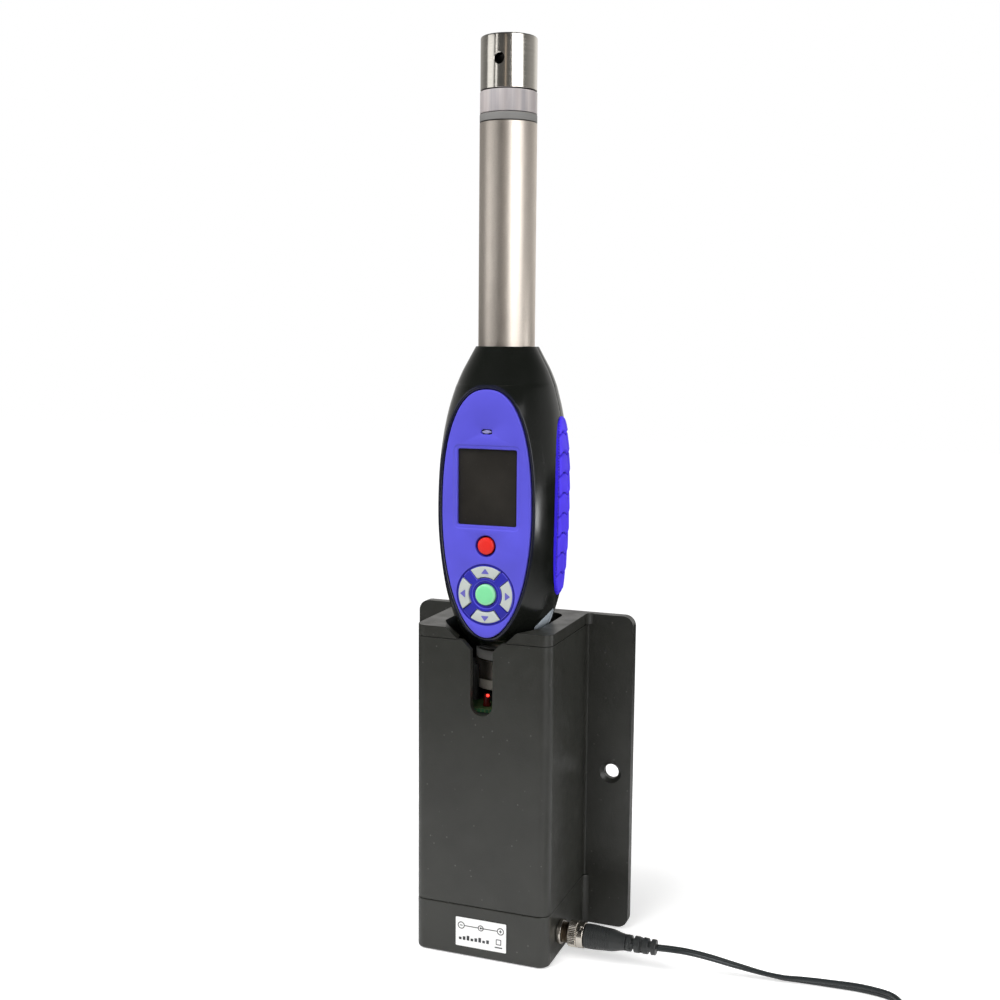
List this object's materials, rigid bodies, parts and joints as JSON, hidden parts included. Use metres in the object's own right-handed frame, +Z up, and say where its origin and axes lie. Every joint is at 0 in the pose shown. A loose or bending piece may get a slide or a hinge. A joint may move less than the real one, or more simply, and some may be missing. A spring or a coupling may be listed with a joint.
{
  "type": "handheld instrument in charging cradle",
  "caption": "Slim upright handheld instrument with metal shaft, oval keypad and display fascia, standing in a black wall-mount charging cradle with a barrel-plug power lead.",
  "frame": {"origin": "on the underside of the cradle, where the instrument's long axis meets it", "axes": "+Z up along the instrument's long axis, -Y out of the front with the display and keys, +X towards the power socket"},
  "size_m": [0.2412, 0.1225, 0.4083],
  "materials": {
    "cradle_black": "satin moulded plastic, fine grain",
    "shell_black": "satin-gloss black casing",
    "moulding": "plain black moulding",
    "fascia_blue": "matte blue printed overlay",
    "grip_blue": "soft moulded grip",
    "key_grey": "silver-grey silicone key",
    "button_green": "mint green silicone key",
    "button_red": "red silicone key",
    "champagne": "bead-blasted, champagne anodised",
    "grey": "matte grey spacer",
    "steel": "turned stainless steel",
    "nickel": "nickel plate",
    "gold": "gold-plated contact",
    "lens": "milky translucent plastic",
    "red_lens": "red lamp body",
    "screen": "dark display window",
    "board": "green circuit board",
    "cell": "plastic-sleeved cell",
    "cap": "light grey end cap",
    "wire": "insulated wire",
    "plug_black": "flexible black moulding",
    "label": "white printed label"
  },
  "bodies": {
    "cradle": {"cradle_housing": "cradle_black", "cradle_lid": "cradle_black", "cradle_base_cap": "cradle_black", "base_screw_1": "steel", "base_screw_2": "steel", "base_screw_3": "steel", "base_screw_4": "steel", "rating_label": "label", "well_tray": "moulding", "charging_board": "board", "tail_guide": "moulding", "contact_block": "moulding", "charge_lamp": "red_lens", "dc_socket": "nickel", "socket_nut": "nickel", "power_harness": "wire", "plug_barrel": "nickel", "plug_body": "plug_black", "strain_relief": "plug_black", "lead_cord": "plug_black", "lead_coil": "plug_black", "lead_cord_end": "plug_black", "usb_plug_body": "plug_black", "usb_plug_tip": "nickel"},
    "instrument": {"front_shell": "shell_black", "rear_shell": "shell_black", "shell_screw_1": "steel", "shell_screw_2": "steel", "shell_screw_3": "steel", "shell_screw_4": "steel", "fascia": "fascia_blue", "sensor_window": "lens", "display_window": "screen", "display_module": "screen", "grip_left": "grip_blue", "grip_right": "grip_blue", "shaft_tube": "champagne", "head_spacer": "grey", "light_ring": "lens", "light_ring_board": "board", "head_collar": "steel", "sensing_beam": "steel", "main_board": "board", "battery_cell": "cell", "sounder": "moulding", "tail_ring": "grey", "tail_tube": "champagne", "tail_cap": "cap", "tail_contact_plus": "gold", "tail_contact_minus": "gold"},
    "contact_pin_minus": {"contact_pin_minus": "gold"},
    "contact_pin_plus": {"contact_pin_plus": "gold"},
    "enter_button": {"enter_button": "button_green"},
    "key_down": {"key_down": "key_grey"},
    "key_left": {"key_left": "key_grey"},
    "key_right": {"key_right": "key_grey"},
    "key_up": {"key_up": "key_grey"},
    "lock_ring": {"lock_ring": "nickel"},
    "red_button": {"red_button": "button_red"}
  },
  "joints": [
    {"name": "instrument_lift", "type": "slide", "parent": "cradle", "child": "instrument", "axis": [0, 0, 1], "range_m": [0, 0.16]},
    {"name": "key_right_press", "type": "slide", "parent": "instrument", "child": "key_right", "axis": [0, 1, 0], "range_m": [0, 0.0008], "stiffness_N_per_m": 1500},
    {"name": "key_up_press", "type": "slide", "parent": "instrument", "child": "key_up", "axis": [0, 1, 0], "range_m": [0, 0.0008], "stiffness_N_per_m": 1500},
    {"name": "key_left_press", "type": "slide", "parent": "instrument", "child": "key_left", "axis": [0, 1, 0], "range_m": [0, 0.0008], "stiffness_N_per_m": 1500},
    {"name": "key_down_press", "type": "slide", "parent": "instrument", "child": "key_down", "axis": [0, 1, 0], "range_m": [0, 0.0008], "stiffness_N_per_m": 1500},
    {"name": "enter_button_press", "type": "slide", "parent": "instrument", "child": "enter_button", "axis": [0, 1, 0], "range_m": [0, 0.0008], "stiffness_N_per_m": 1500},
    {"name": "red_button_press", "type": "slide", "parent": "instrument", "child": "red_button", "axis": [0, 1, 0], "range_m": [0, 0.0008], "stiffness_N_per_m": 1500},
    {"name": "contact_pin_plus_travel", "type": "slide", "parent": "cradle", "child": "contact_pin_plus", "axis": [0, 0, -1], "range_m": [0, 0.0012], "stiffness_N_per_m": 400},
    {"name": "contact_pin_minus_travel", "type": "slide", "parent": "cradle", "child": "contact_pin_minus", "axis": [0, 0, -1], "range_m": [0, 0.0012], "stiffness_N_per_m": 400},
    {"name": "lock_ring_turn", "type": "hinge", "parent": "cradle", "child": "lock_ring", "pos_m": [0.041, -0.0108, 0.0112], "axis": [1, 0, 0], "continuous": true}
  ]
}
